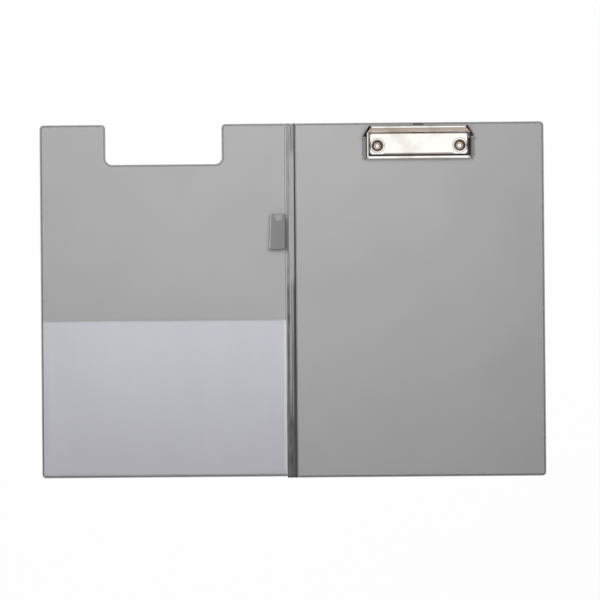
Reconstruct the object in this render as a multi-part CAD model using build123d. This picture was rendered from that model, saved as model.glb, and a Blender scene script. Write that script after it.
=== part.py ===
from build123d import *
import math
import os

os.makedirs("parts", exist_ok=True)

# All sizes are in millimetres. The folder lies open: X runs across it to the board side,
# Y up to the clip end, Z up from the table. The origin is under the middle of the folder.

# Panels and spine
panel_height = 323.0  # board, bottom edge to top edge
board_width = 226.9  # from the board-side crease to the outer edge
cover_width = 224.0  # from the cover-side crease to the outer edge
cover_shortfall = 1.2  # the cover ends this much above the board's bottom edge
crease_spacing = 8.6  # from crease to crease
film = 0.3  # one layer of film
board_core_thickness = 1.4
cover_core_thickness = 1.0
weld_margin = 1.6  # flat welded rim outside the cores
core_play = 0.1  # between a core's edge and the film round it
corner_radius = 3.6  # outer corners of both panels
near_corner_radius = 0.8  # corners of the inner films beside the spine
least_corner_radius = 0.5  # of a corner drawn in from another
edge_bevel = 0.35  # film bending over the edge of a core
crease_play = 0.05  # running gap between the rounded end of the spine film and its neighbour
wall_gap = 0.75  # from a crease to the raised edge of the panel beside it

# Ribs pressed into the spine
rib_count = 3
rib_pitch = 1.9
rib_offset = 0.55  # from the middle of the spine towards the board
rib_width = 1.2
rib_rise = 0.2
rib_round = 0.18
spine_inner_base = 0.2  # inner spine film between the ribs
spine_inner_margin = 0.6  # from each crease to the inner spine film
nick_depth = 0.9  # small notch in both ends of the spine film
nick_width = 1.8
nick_offset = 1.2  # from the middle of the spine towards the board

# Clear pocket on the cover
pocket_height = 142.0
pocket_film_thickness = 0.2
pocket_clearance = 0.15  # room for a sheet between the pocket and the cover
pocket_weld = 1.6  # width of the weld along three sides

# Pen loop on the cover
loop_length = 31.6  # along the spine
loop_reach = 16.3  # from the crease to its far fold
loop_below_top = 98.6  # from the top edge to its middle
loop_outer_height = 5.0
loop_near = 0.95  # from the crease to its welded tab
loop_tab = 1.1  # width of the welded tab
loop_rise = 2.8  # run of its slope from the tab to full height
loop_fold_radius = 2.4
loop_shoulder_radius = 2.6

# Clip as a whole, measured from the middle of its width and from the board's top edge
clip_centre = 112.6  # from the board-side crease
clip_width = 101.6
clip_depth = 33.6  # top edge of the board to the gripping edge
notch_side_clearance = 2.15  # between the clip and the cover's cut-out, each side
notch_shift = 1.5  # the cut-out lies this much nearer its crease than the clip does
notch_end_clearance = 3.3
notch_inner_radius = 6.0
notch_outer_radius = 3.6

# Fixed plate of the clip
frame_reach = 5.15  # from the plate's side to the outside of the bail round it
frame_reach_front = 4.9  # the same at the front
plate_rear = 10.7
plate_top = 7.0  # above the board
plate_sheet = 0.8
plate_corner = 2.5
plate_edge_round = 1.1
plate_rim = 1.5  # how far its edge is bent down
ear_front = 18.0  # the ears for the rod end here
ear_lift = 0.9  # above the board

# Rivets and the cups that hold them
rivet_side_inset = 8.15  # from the plate's side to the middle of a rivet
rivet_front_inset = 7.3
rivet_shank_radius = 2.5
rivet_play = 0.05
rivet_bore_radius = 2.0
rivet_bore_depth = 3.0
rivet_head_radius = 3.4
rivet_head_height = 0.9
rivet_head_bevel = 0.45
rivet_back_radius = 4.5
rivet_back_height = 0.7
rivet_back_inset = 0.05  # pressed in by this much behind the outer film
cup_top_radius = 6.75
cup_floor_radius = 4.5
cup_flare_height = 0.8

# Rod and springs
rod_radius = 1.0
rod_back = 14.0  # from the board's top edge
rod_lift = 3.2  # above the board
rod_running_play = 0.05
rod_head_radius = 1.5
rod_head_height = 0.25
wire_radius = 0.45
coil_play = 0.3
coil_turns = 3
coil_pitch = 1.5
coil_cup_gap = 4.5  # from each coil to the cup beside it
wire_sides = 6  # the wire is drawn with flats
leg_touch = 0.05  # between a spring's leg and what it presses
front_leg_reach = 6.0  # from the rod to the end of the leg under the plate
rear_leg_reach = 4.5  # from the rod to the end of the leg under the bail
leg_slot_play = 0.35

# Moving bail
bail_sheet = 0.9
bail_arm_top = 5.4
bail_arm_flange = 3.4
bail_arm_lift = 0.8
bail_arm_round = 1.1
bail_bend_radius = 1.2
bail_below = 5.0  # its walls are drawn this far below the board, then trimmed
jaw_lean = 1.0  # how far the jaw bar leans back over its height
jaw_top_inset = 1.9  # from the bar's bend to the front edge of the window
jaw_gap = 0.05  # above the board when the clip is shut
lip_rear = 3.7
lip_front = 10.2
lip_top = 8.8
lip_bend = 9.3  # the lip starts to rise here
lip_bend_radius = 1.3
lip_crest = 6.0  # the slope ends here
lip_crest_radius = 1.7
lip_roll_radius = 1.0
lip_skirt = 2.7  # depth of its rolled rear edge
lip_skirt_inset = 2.7  # from the shoulder's rear end to each end of that edge
arm_rear = 12.8  # the upright sides of the arms end here
shoulder_front = 14.8  # the slanted shoulders begin here
shoulder_lean = 55.0  # degrees
shoulder_rear_inset = 4.3
shoulder_step = 0.6  # its lower edge rises steeply over this length, then follows the lip
shoulder_trim = 0.3  # from the sheet's underside down to that edge

# Hanging tab
hanger_width = 11.5
hanger_thickness = 0.8
hanger_tip = 1.2  # from the board's top edge
hanger_stop_width = 15.0
hanger_stop_length = 1.5
hanger_travel = 12.2
hanger_play = 0.05
hanger_side_play = 0.15
hanger_corner = 2.4
eyelet_length = 7.0
eyelet_width = 4.6
eyelet_below_tip = 4.2

# Places that follow from the sizes above
folder_width = cover_width + crease_spacing + board_width
cover_edge = -folder_width / 2
cover_crease = cover_edge + cover_width
board_crease = cover_crease + crease_spacing
board_edge = folder_width / 2
top_edge = panel_height / 2
board_low = -panel_height / 2
cover_low = board_low + cover_shortfall
board_top = film + board_core_thickness + film
cover_top = film + cover_core_thickness + film
clip_x = board_crease + clip_centre
notch_x = cover_crease - clip_centre + notch_shift
plate_width = clip_width - 2 * frame_reach
plate_front = clip_depth - frame_reach_front
plate_under = plate_top - plate_sheet
rivet_spacing = plate_width - 2 * rivet_side_inset
rivet_below_top = plate_front - rivet_front_inset
coil_radius = rod_radius + coil_play + wire_radius
coil_far = rivet_spacing / 2 - cup_top_radius - plate_sheet - coil_cup_gap
coil_near = coil_far - coil_turns * coil_pitch
over = 1.0  # how far a cutting solid reaches past what it cuts


def block(x_low, x_high, y_low, y_high, z_low, z_high):
    """Box between two corners."""
    size = Box(x_high - x_low, y_high - y_low, z_high - z_low)
    return Pos((x_low + x_high) / 2, (y_low + y_high) / 2, (z_low + z_high) / 2) * size


def along_y(profile, y_low, y_high):
    """Extrudes a profile drawn in X and Z along Y."""
    plane = Plane(origin=(0, y_high, 0), x_dir=(1, 0, 0), z_dir=(0, -1, 0))
    return extrude(plane * profile, y_high - y_low)


def along_x(profile, half_width):
    """Extrudes a profile drawn in Y and Z along X, to both sides of the middle."""
    plane = Plane(origin=(0, 0, 0), x_dir=(0, 1, 0), z_dir=(1, 0, 0))
    return extrude(plane * profile, half_width, both=True)


def polygon(*points):
    """Closed straight-sided face."""
    return make_face(Polyline(*points, close=True))


def corners_at(face, x=None, y=None, reach=0.01):
    """Corners of a flat face on one line, or at one point."""
    found = face.vertices()
    if x is not None:
        found = [v for v in found if abs(v.X - x) < reach]
    if y is not None:
        found = [v for v in found if abs(v.Y - y) < reach]
    return found


# Panels


def panel_outline(crease, edge, low, inset, near_gap, near_radius):
    """Outline of a panel, drawn in on its three free sides and held off the crease on the fourth."""
    side = math.copysign(1, edge - crease)
    x_near = crease + side * near_gap
    x_far = edge - side * inset
    y_low = low + inset
    y_high = top_edge - inset
    middle = Pos((x_near + x_far) / 2, (y_low + y_high) / 2)
    face = middle * Rectangle(abs(x_far - x_near), y_high - y_low)
    face = fillet(corners_at(face, x=x_far), max(corner_radius - inset, least_corner_radius))
    if near_radius > 0:
        face = fillet(corners_at(face, x=x_near), near_radius)
    return face


def cut_notch(face, inset):
    """Cuts the clip's notch out of a cover outline, wider by the outline's inset."""
    half = clip_width / 2 + notch_side_clearance + inset
    y_low = top_edge - clip_depth - notch_end_clearance - inset
    y_high = top_edge - inset
    opening = Pos(notch_x, (y_low + y_high + over) / 2) * Rectangle(2 * half, y_high + over - y_low)
    face = face - opening
    for side in (-1, 1):
        inner = corners_at(face, x=notch_x + side * half, y=y_low)
        face = fillet(inner, notch_inner_radius + inset)
        outer = corners_at(face, x=notch_x + side * half, y=y_high)
        face = fillet(outer, max(notch_outer_radius - inset, least_corner_radius))
    return face


def board_outline(inset, near_gap, near_radius=0):
    return panel_outline(board_crease, board_edge, board_low, inset, near_gap, near_radius)


def cover_outline(inset, near_gap, near_radius=0):
    face = panel_outline(cover_crease, cover_edge, cover_low, inset, near_gap, near_radius)
    return cut_notch(face, inset)


def panel_parts(outline, core_thickness):
    """Outer film, core and inner film of one panel."""
    outer_film = extrude(outline(0, film / 2 + crease_play), film)
    core_face = outline(weld_margin + film + core_play, wall_gap + film + core_play, near_corner_radius)
    core = Pos(0, 0, film) * extrude(core_face, core_thickness)
    rim = extrude(outline(0, wall_gap, near_corner_radius), film)
    raised = extrude(outline(weld_margin, wall_gap, near_corner_radius), core_thickness + film)
    raised = chamfer(raised.faces().sort_by(Axis.Z)[-1].edges(), edge_bevel)
    cavity_face = outline(weld_margin + film, wall_gap + film, near_corner_radius)
    inner_film = Pos(0, 0, film) * (rim + raised - extrude(cavity_face, core_thickness))
    return outer_film, core, inner_film


def rivet_places():
    """Both rivets, in clip coordinates."""
    return [Pos(side * rivet_spacing / 2, -rivet_below_top) for side in (-1, 1)]


def in_clip(part):
    """Moves a part from clip coordinates onto the board."""
    return Pos(clip_x, top_edge, board_top) * part


def cylinder_up(radius, z_low, z_high):
    return Pos(0, 0, z_low) * Cylinder(radius, z_high - z_low, align=(Align.CENTER, Align.CENTER, Align.MIN))


def cone_up(low_radius, high_radius, z_low, z_high):
    cone = Cone(low_radius, high_radius, z_high - z_low, align=(Align.CENTER, Align.CENTER, Align.MIN))
    return Pos(0, 0, z_low) * cone


def rivet_holes():
    """Holes for the rivets through the board, with seats for their flat backs."""
    through = cylinder_up(rivet_shank_radius + rivet_play, -board_top - over, plate_sheet + over)
    back_top = -board_top + rivet_back_inset + rivet_back_height + rivet_play
    seat = cylinder_up(rivet_back_radius + rivet_play, -board_top - over, back_top)
    return [in_clip(place * (through + seat)) for place in rivet_places()]


board_outer_film, board_core, board_inner_film = panel_parts(board_outline, board_core_thickness)
for hole in rivet_holes():
    board_outer_film = board_outer_film - hole
    board_core = board_core - hole
    board_inner_film = board_inner_film - hole
cover_outer_film, cover_core, cover_inner_film = panel_parts(cover_outline, cover_core_thickness)


# Spine


def spine_films():
    """Outer film with rounded ends on the creases, and inner film with its pressed ribs."""
    middle = (cover_crease + board_crease) / 2
    section = Pos(middle, film / 2) * SlotCenterToCenter(crease_spacing, film)
    outer = along_y(section, board_low, top_edge)
    inner_width = crease_spacing - 2 * spine_inner_margin
    inner_section = Pos(middle, film + spine_inner_base / 2) * Rectangle(inner_width, spine_inner_base)
    for index in range(rib_count):
        x = middle + rib_offset + (index - (rib_count - 1) / 2) * rib_pitch
        rib = Pos(x, film + spine_inner_base) * RectangleRounded(rib_width, 2 * rib_rise, rib_round)
        inner_section = inner_section + rib
    below = Pos(middle, film - rib_rise) * Rectangle(inner_width, 2 * rib_rise)
    inner = along_y(inner_section - below, board_low + edge_bevel, top_edge - edge_bevel)
    for end, side in ((top_edge, -1), (board_low, 1)):
        x = middle + nick_offset
        nick = polygon((x - nick_width / 2, end), (x + nick_width / 2, end), (x, end + side * nick_depth))
        nick = Pos(0, 0, -over) * extrude(nick, 2 * film + rib_rise + 2 * over)
        outer = outer - nick
        inner = inner - nick
    return outer, inner


spine_outer_film, spine_inner_film = spine_films()


# Pocket and pen loop


def make_pocket():
    """Clear sheet over the lower part of the cover, welded along three sides and open at the top."""
    inset = weld_margin + edge_bevel
    raised = panel_outline(cover_crease, cover_edge, cover_low, inset, wall_gap + edge_bevel, near_corner_radius)
    y_top = cover_low + pocket_height
    keep = Pos(0, (y_top + cover_low) / 2) * Rectangle(2 * folder_width, pocket_height)
    sheet_face = raised & keep
    room = panel_outline(
        cover_crease,
        cover_edge,
        cover_low,
        inset + pocket_weld,
        wall_gap + edge_bevel + pocket_weld,
        near_corner_radius,
    )
    room = room & keep
    sheet = extrude(sheet_face, pocket_clearance + pocket_film_thickness)
    return Pos(0, 0, cover_top) * (sheet - extrude(room, pocket_clearance))


def loop_profile(inset):
    """Flattened tube with a welded tab on its spine side, seen along the spine."""
    tab_height = 2 * film
    start = cover_crease - loop_near
    tab_end = start - loop_tab
    crest = tab_end - loop_rise
    far = cover_crease - loop_reach + inset
    low = inset
    high = loop_outer_height - inset
    if inset > 0:
        points = [(tab_end, low), (far, low), (far, high), (crest, high)]
    else:
        points = [(start, low), (far, low), (far, high), (crest, high), (tab_end, tab_height), (start, tab_height)]
    face = polygon(*points)
    for y in (low, high):
        face = fillet(corners_at(face, x=far, y=y), loop_fold_radius - inset)
    return fillet(corners_at(face, x=crest, y=high), loop_shoulder_radius - inset)


def make_pen_loop():
    y_middle = top_edge - loop_below_top
    y_low = y_middle - loop_length / 2
    y_high = y_middle + loop_length / 2
    outer = along_y(loop_profile(0), y_low, y_high)
    inner = along_y(loop_profile(film), y_low - over, y_high + over)
    return Pos(0, 0, cover_top) * (outer - inner)


pocket_film = make_pocket()
pen_loop = make_pen_loop()


# Clip plate and rivets, in clip coordinates: Y is 0 at the board's top edge, Z is 0 on the board


def plan_block(half_width, rear, front, radius, z_high):
    face = Pos(0, -(rear + front) / 2) * RectangleRounded(2 * half_width, front - rear, radius)
    return extrude(face, z_high)


def leg_slots():
    """Openings in the plate's rear wall for the hanging tab and the rear legs of the springs."""
    half_tab = hanger_width / 2 + hanger_side_play
    tab_height = hanger_play + hanger_thickness + hanger_side_play
    wall_back = -plate_rear - 2 * plate_sheet
    slots = [block(-half_tab, half_tab, wall_back, -plate_rear + over, -over, tab_height)]
    half_slot = wire_radius + leg_slot_play
    for side in (-1, 1):
        x = side * coil_near
        z_low = rod_lift - coil_radius
        z_high = bail_arm_top
        slots.append(block(x - half_slot, x + half_slot, wall_back, -plate_rear + over, z_low, z_high))
    return slots


def make_clip_plate():
    half = plate_width / 2
    outer = plan_block(half, plate_rear, plate_front, plate_corner, plate_top)
    outer = fillet(outer.faces().sort_by(Axis.Z)[-1].edges(), plate_edge_round)
    inner = plan_block(
        half - plate_sheet,
        plate_rear + plate_sheet,
        plate_front - plate_sheet,
        plate_corner - plate_sheet,
        plate_under,
    )
    plate = outer - inner
    wide = half + over
    plate = plate - block(-wide, wide, -plate_front - over, -ear_front, -over, plate_top - plate_rim)
    plate = plate - block(-wide, wide, -ear_front - over, -plate_rear - plate_corner, -over, ear_lift)
    for place in rivet_places():
        flare_low = plate_top - cup_flare_height
        wall = cylinder_up(cup_floor_radius + plate_sheet, 0, flare_low)
        wall = wall + cone_up(cup_floor_radius + plate_sheet, cup_top_radius + plate_sheet, flare_low, plate_top)
        room = cylinder_up(cup_floor_radius, plate_sheet, flare_low)
        room = room + cone_up(cup_floor_radius, cup_top_radius, flare_low, plate_top)
        hole = cylinder_up(rivet_shank_radius + rivet_play, -over, plate_top)
        plate = plate + (place * wall & outer)
        plate = plate - place * room - place * hole
    rod_hole = Pos(0, -rod_back, rod_lift) * Rot(0, 90, 0) * Cylinder(rod_radius, plate_width + 2 * over)
    plate = plate - rod_hole
    for slot in leg_slots():
        plate = plate - slot
    return plate


def make_rivets():
    """Two rivets: flat backs behind the board, hollow rolled heads in the cups."""
    head_low = plate_sheet
    head_high = head_low + rivet_head_height
    back_low = -board_top + rivet_back_inset
    shank = cylinder_up(rivet_shank_radius, back_low, head_low)
    back = cylinder_up(rivet_back_radius, back_low, back_low + rivet_back_height)
    head = cylinder_up(rivet_head_radius, head_low, head_high)
    head = chamfer(head.faces().sort_by(Axis.Z)[-1].edges(), rivet_head_bevel)
    bore = cylinder_up(rivet_bore_radius, head_high - rivet_bore_depth, head_high + over)
    rivet = shank + back + head - bore
    left, right = rivet_places()
    return left * rivet + right * rivet


# Rod and springs


def make_rod():
    length = clip_width
    rod = Cylinder(rod_radius, length)
    for side in (-1, 1):
        head = Cylinder(rod_head_radius, rod_head_height)
        rod = rod + Pos(0, 0, side * (length + rod_head_height) / 2) * head
    return Pos(0, -rod_back, rod_lift) * Rot(0, 90, 0) * rod


def biarc(start, start_dir, end, end_dir):
    """Two arcs that meet smoothly and leave and arrive along the given directions."""
    chord = end - start
    both = start_dir + end_dir
    grip = 2 * (1 - start_dir.dot(end_dir))
    pull = chord.dot(both)
    reach = (math.sqrt(pull * pull + grip * chord.dot(chord)) - pull) / grip
    middle = (start + start_dir * reach + end - end_dir * reach) / 2
    middle_dir = (chord - both * reach).normalized()
    first = TangentArc(start, middle, tangent=start_dir)
    second = TangentArc(middle, end, tangent=middle_dir)
    return [first, second]


def tangent_angle(back_offset, height_offset):
    """Slope of a line from the coil's lower side to a point beside the rod, in radians."""
    distance = math.hypot(back_offset, height_offset)
    return math.atan2(height_offset, back_offset) + math.asin(coil_radius / distance)


def spring_path(side):
    """Wire of one spring: leg under the plate, coil round the rod, leg under the lip."""
    centre = Vector(0, -rod_back, rod_lift)
    front_height = plate_under - wire_radius - leg_touch - rod_lift
    rear_height = bail_arm_top - bail_sheet - wire_radius - leg_touch - rod_lift
    front_angle = tangent_angle(front_leg_reach, front_height)
    rear_angle = tangent_angle(rear_leg_reach, rear_height)
    turn = 2 * math.pi * coil_turns + front_angle + rear_angle
    steps = math.ceil(turn / (math.pi / 2))
    span = coil_turns * coil_pitch

    def point(share):
        """Place and heading on the coil; the wire runs backwards under the rod."""
        angle = -front_angle + share * turn
        x = side * (coil_near + span * (1 - share))
        offset = Vector(0, math.sin(angle), -math.cos(angle)) * coil_radius
        heading = Vector(0, math.cos(angle), math.sin(angle))
        if 0 < share < 1:
            heading = heading + Vector(-side * span / (turn * coil_radius), 0, 0)
        return centre + offset + Vector(x, 0, 0), heading.normalized()

    places = [point(index / steps) for index in range(steps + 1)]
    edges = []
    front_end = centre + Vector(side * (coil_near + span), -front_leg_reach, front_height)
    rear_end = centre + Vector(side * coil_near, rear_leg_reach, rear_height)
    edges.append(Line(front_end, places[0][0]))
    for (start, start_dir), (end, end_dir) in zip(places, places[1:]):
        edges.extend(biarc(start, start_dir, end, end_dir))
    edges.append(Line(places[-1][0], rear_end))
    return Wire(edges)


def make_spring(side):
    path = spring_path(side)
    section = Plane(origin=path @ 0, z_dir=path % 0) * RegularPolygon(wire_radius, wire_sides)
    return sweep(section, path=path)


# Bail


def bail_profile():
    """Side view of the bail's outer surface, open at the bottom: jaw bar, arms and rising lip."""
    lean = jaw_lean / bail_arm_top
    jaw_bend = -(clip_depth - jaw_lean)
    face = polygon(
        (-(clip_depth + lean * bail_below), -bail_below),
        (jaw_bend, bail_arm_top),
        (-lip_bend, bail_arm_top),
        (-lip_crest, lip_top),
        (-lip_rear, lip_top),
        (-lip_rear, -bail_below),
    )
    face = fillet(corners_at(face, x=jaw_bend, y=bail_arm_top), bail_bend_radius)
    face = fillet(corners_at(face, x=-lip_bend, y=bail_arm_top), lip_bend_radius)
    face = fillet(corners_at(face, x=-lip_crest, y=lip_top), lip_crest_radius)
    return fillet(corners_at(face, x=-lip_rear, y=lip_top), lip_roll_radius)


def shoulder_cutter(inset):
    """Half space beyond one slanted shoulder, moved inwards by an inset."""
    run = math.hypot(shoulder_rear_inset, shoulder_front - lip_rear)
    lean = math.radians(shoulder_lean)
    outward = Vector((shoulder_front - lip_rear) / run, shoulder_rear_inset / run, 0)
    normal = outward * math.cos(lean) + Vector(0, 0, math.sin(lean))
    corner = Vector(clip_width / 2, -shoulder_front, bail_arm_top) - normal * inset
    size = clip_width
    plane = Plane(origin=corner, x_dir=(0, 0, 1), z_dir=normal)
    return plane * Pos(0, 0, size / 2) * Box(2 * size, 2 * size, size)


def bail_block(inset):
    """Solid inside the bail's outer surface, drawn in by an inset; its long side edges are rounded."""
    profile = bail_profile()
    if inset > 0:
        profile = offset(profile, -inset)
    half = clip_width / 2 - inset
    solid = along_x(profile, half)
    if inset == 0:
        side_edges = [edge for face in solid.faces().filter_by(Axis.X) for edge in face.edges()]
        side_edges = [edge for edge in side_edges if edge.bounding_box().min.Z > -bail_below + 0.01]
        side_edges = [edge for edge in side_edges if edge.center().Y < -lip_rear - 0.01]
        solid = fillet(side_edges, bail_arm_round)
    cutter = shoulder_cutter(inset)
    return solid - cutter - cutter.mirror(Plane.YZ)


def bail_underside():
    """Everything below the bail's lower edges."""
    jaw_back = clip_depth - jaw_lean
    beyond = 2 * clip_depth
    edge_drop = bail_sheet + shoulder_trim
    under_arms = polygon(
        (-beyond, jaw_gap),
        (-jaw_back, jaw_gap),
        (-jaw_back, bail_arm_lift),
        (-arm_rear, bail_arm_lift),
        (-arm_rear + shoulder_step, bail_arm_top - edge_drop),
        (-lip_bend + shoulder_step, bail_arm_top - edge_drop),
        (-lip_crest + shoulder_step, lip_top - edge_drop),
        (0, lip_top - edge_drop),
        (0, -beyond),
        (-beyond, -beyond),
    )
    skirt_low = lip_top - lip_skirt
    half = clip_width / 2 - shoulder_rear_inset - lip_skirt_inset
    under_lip = block(-half, half, -lip_crest, 0, -over, skirt_low)
    return along_x(under_arms, clip_width), under_lip


def make_bail():
    bail = bail_block(0) - bail_block(bail_sheet)
    under_arms, under_lip = bail_underside()
    bail = bail - under_arms - under_lip
    half_window = clip_width / 2 - bail_arm_flange
    window_front = clip_depth - jaw_lean - jaw_top_inset
    bail = bail - block(-half_window, half_window, -window_front, -lip_front, 0, lip_top + over)
    rod_hole = Cylinder(rod_radius + rod_running_play, clip_width + 2 * over)
    return bail - Pos(0, -rod_back, rod_lift) * Rot(0, 90, 0) * rod_hole


# Hanging tab


def make_hanger():
    stop_back = plate_rear + plate_sheet + hanger_travel
    tail = stop_back + hanger_stop_length
    strip = Pos(0, -(hanger_tip + tail) / 2) * Rectangle(hanger_width, tail - hanger_tip)
    strip = fillet(corners_at(strip, y=-hanger_tip), hanger_corner)
    stop = Pos(0, -(stop_back + tail) / 2) * Rectangle(hanger_stop_width, hanger_stop_length)
    eyelet_back = hanger_tip + eyelet_below_tip
    eyelet = Pos(0, -eyelet_back) * SlotOverall(eyelet_length, eyelet_width)
    return Pos(0, 0, hanger_play) * extrude(strip + stop - eyelet, hanger_thickness)


clip_plate = make_clip_plate()
rivets = make_rivets()
pivot_rod = make_rod()
spring_left = make_spring(-1)
spring_right = make_spring(1)
clip_bail = make_bail()
hanger = make_hanger()


# Least gap between turns of a spring that are at least half a turn apart
def least_spring_gap(side, samples=600):
    path = spring_path(side)
    points = [path @ (index / samples) for index in range(samples + 1)]
    apart = math.pi * coil_radius
    step = path.length / samples
    skip = math.ceil(apart / step)
    least = min(
        (points[first] - points[second]).length
        for first in range(samples + 1)
        for second in range(first + skip, samples + 1)
    )
    return least - 2 * wire_radius


print("least gap between spring turns", round(least_spring_gap(1), 3))

nodes = {
    "board_outer_film": board_outer_film,
    "board_core": board_core,
    "board_inner_film": board_inner_film,
    "spine_outer_film": spine_outer_film,
    "spine_inner_film": spine_inner_film,
    "cover_outer_film": cover_outer_film,
    "cover_core": cover_core,
    "cover_inner_film": cover_inner_film,
    "pocket_film": pocket_film,
    "pen_loop": pen_loop,
    "clip_plate": in_clip(clip_plate),
    "clip_rivets": in_clip(rivets),
    "pivot_rod": in_clip(pivot_rod),
    "spring_left": in_clip(spring_left),
    "spring_right": in_clip(spring_right),
    "clip_bail": in_clip(clip_bail),
    "hanger": in_clip(hanger),
}
for name, part in nodes.items():
    export_step(part, f"parts/{name}.step")
    print(name, len(part.solids()), round(part.volume, 1))
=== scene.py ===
import math

import bmesh
import bpy
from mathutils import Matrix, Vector, noise


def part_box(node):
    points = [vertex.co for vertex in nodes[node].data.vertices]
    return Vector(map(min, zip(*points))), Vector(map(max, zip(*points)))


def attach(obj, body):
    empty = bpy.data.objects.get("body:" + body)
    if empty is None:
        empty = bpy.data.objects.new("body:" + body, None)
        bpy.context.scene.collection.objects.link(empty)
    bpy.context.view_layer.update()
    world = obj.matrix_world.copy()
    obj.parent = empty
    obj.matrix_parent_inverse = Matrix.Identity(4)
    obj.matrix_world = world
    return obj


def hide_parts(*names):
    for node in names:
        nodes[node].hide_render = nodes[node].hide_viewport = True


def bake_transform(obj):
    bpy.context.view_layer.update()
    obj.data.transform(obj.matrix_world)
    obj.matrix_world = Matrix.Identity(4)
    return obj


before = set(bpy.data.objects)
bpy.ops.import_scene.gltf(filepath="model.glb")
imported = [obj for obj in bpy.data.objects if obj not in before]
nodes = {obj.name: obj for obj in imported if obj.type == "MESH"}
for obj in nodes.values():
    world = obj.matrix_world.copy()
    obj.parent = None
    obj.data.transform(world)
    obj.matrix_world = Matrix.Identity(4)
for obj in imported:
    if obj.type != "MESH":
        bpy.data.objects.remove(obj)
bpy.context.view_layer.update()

mm = 0.001


# Camera and studio.
# The folder lies flat on a white table and is seen from straight above; one broad lamp stands
# behind its left shoulder, a smaller one to the right, under a pale ceiling with dark walls.
class Signal:
    """A value running through a finish; a sum on it adds its own Math nodes."""

    def __init__(self, finish, socket):
        self.finish = finish
        self.socket = socket

    def math(self, operation, *values):
        inputs = dict(enumerate(values))
        return self.finish.add("ShaderNodeMath", {"operation": operation}, inputs)

    def __add__(self, other):
        return self.math("ADD", self, other)

    def __radd__(self, other):
        return self.math("ADD", other, self)

    def __sub__(self, other):
        return self.math("SUBTRACT", self, other)

    def __rsub__(self, other):
        return self.math("SUBTRACT", other, self)

    def __mul__(self, other):
        return self.math("MULTIPLY", self, other)

    def __rmul__(self, other):
        return self.math("MULTIPLY", other, self)

    def __abs__(self):
        return self.math("ABSOLUTE", self)

    def most(self, other):
        return self.math("MAXIMUM", self, other)

    def step(self, low, high, start=0.0, end=1.0):
        """Smooth change from start to end as the value goes from low to high."""
        settings = {"interpolation_type": "SMOOTHSTEP", "clamp": True}
        inputs = {0: self, 1: low, 2: high, 3: start, 4: end}
        return self.finish.add("ShaderNodeMapRange", settings, inputs)


class Finish:
    """A node tree for one surface, or for the studio's ceiling."""

    def __init__(self, owner):
        owner.use_nodes = True
        self.owner = owner
        self.tree = owner.node_tree
        self.tree.nodes.clear()

    def add(self, kind, settings=None, inputs=None, output=0):
        """Adds a node: settings first, then values or links of its sockets; returns one output."""
        node = self.tree.nodes.new(kind)
        for key, value in (settings or {}).items():
            setattr(node, key, value)
        for key, value in (inputs or {}).items():
            socket = node.inputs[key]
            if isinstance(value, Signal):
                self.tree.links.new(value.socket, socket)
            else:
                socket.default_value = value
        if not node.outputs:
            return None
        return Signal(self, node.outputs[output])

    def place(self, scale=(1, 1, 1), turn=(0, 0, 0)):
        """Object coordinates of the piece, scaled and turned."""
        point = self.add("ShaderNodeTexCoord", output="Object")
        inputs = {"Vector": point, "Scale": scale, "Rotation": turn}
        return self.add("ShaderNodeMapping", None, inputs)

    def axes(self, point):
        """The three numbers of a vector."""
        return [self.add("ShaderNodeSeparateXYZ", None, {0: point}, index) for index in range(3)]

    def cloud(self, point, scale, detail=2.0, rough=0.5):
        inputs = {"Vector": point, "Scale": scale, "Detail": detail, "Roughness": rough}
        return self.add("ShaderNodeTexNoise", None, inputs)

    def tint(self, share, first, second):
        """Colour between two colours."""
        inputs = {0: share, 6: first, 7: second}
        return self.add("ShaderNodeMix", {"data_type": "RGBA"}, inputs, 2)

    def ray(self, kind):
        """1 where the camera, a mirror or a clear film looks at this surface, else 0."""
        return self.add("ShaderNodeLightPath", output="Is " + kind + " Ray")

    def bump(self, height, strength, distance, normal=None):
        inputs = {"Height": height, "Strength": strength, "Distance": distance}
        if normal is not None:
            inputs["Normal"] = normal
        return self.add("ShaderNodeBump", None, inputs)

    def surface(self, **sockets):
        """Main shader; a socket's name has its blanks as low lines."""
        inputs = {key.replace("_", " "): value for key, value in sockets.items()}
        return self.add("ShaderNodeBsdfPrincipled", None, inputs)

    def close(self, shader, kind="ShaderNodeOutputMaterial"):
        self.add(kind, None, {"Surface": shader})
        return self.owner


def grey(level):
    return (level, level, level, 1)


world = bpy.data.worlds.new("ceiling_and_walls")
bpy.context.scene.world = world
ceiling = Finish(world)
direction = ceiling.add("ShaderNodeTexCoord", output="Generated")
side_part, depth_part, height = ceiling.axes(direction)
# Mirrored in the metal: walls dark at the back and pale in front, a bright ceiling overhead.
dark_wall = (0.022, 0.016, 0.013, 1)
pale_wall = (0.58, 0.50, 0.44, 1)
upper_wall = (0.40, 0.37, 0.35, 1)
walls = ceiling.tint(depth_part.step(-0.05, -0.45), dark_wall, pale_wall)
walls = ceiling.tint(height.step(0.34, 0.46), walls, upper_wall)
overhead = height.step(0.78, 0.95) * side_part.step(-0.32, -0.12)
above = ceiling.tint(height.step(0.90, 0.985), (0.80, 0.76, 0.72, 1), (1.28, 1.30, 1.30, 1))
reflected = ceiling.tint(overhead, walls, above)
# Light on dull surfaces: dim near the floor, brighter from above and from the front.
lit = ceiling.tint(height.step(0.0, 0.9), (0.06, 0.06, 0.062, 1), (0.22, 0.22, 0.23, 1))
lit = ceiling.tint(depth_part.step(0.6, -0.6), lit, (0.46, 0.46, 0.475, 1))
sky = ceiling.tint(ceiling.ray("Glossy"), lit, reflected)
sky = ceiling.tint(ceiling.ray("Camera").most(ceiling.ray("Transmission")), sky, grey(1.0))
glow = ceiling.add("ShaderNodeBackground", None, {"Color": sky, "Strength": 1.0})
ceiling.close(glow, "ShaderNodeOutputWorld")


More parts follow.
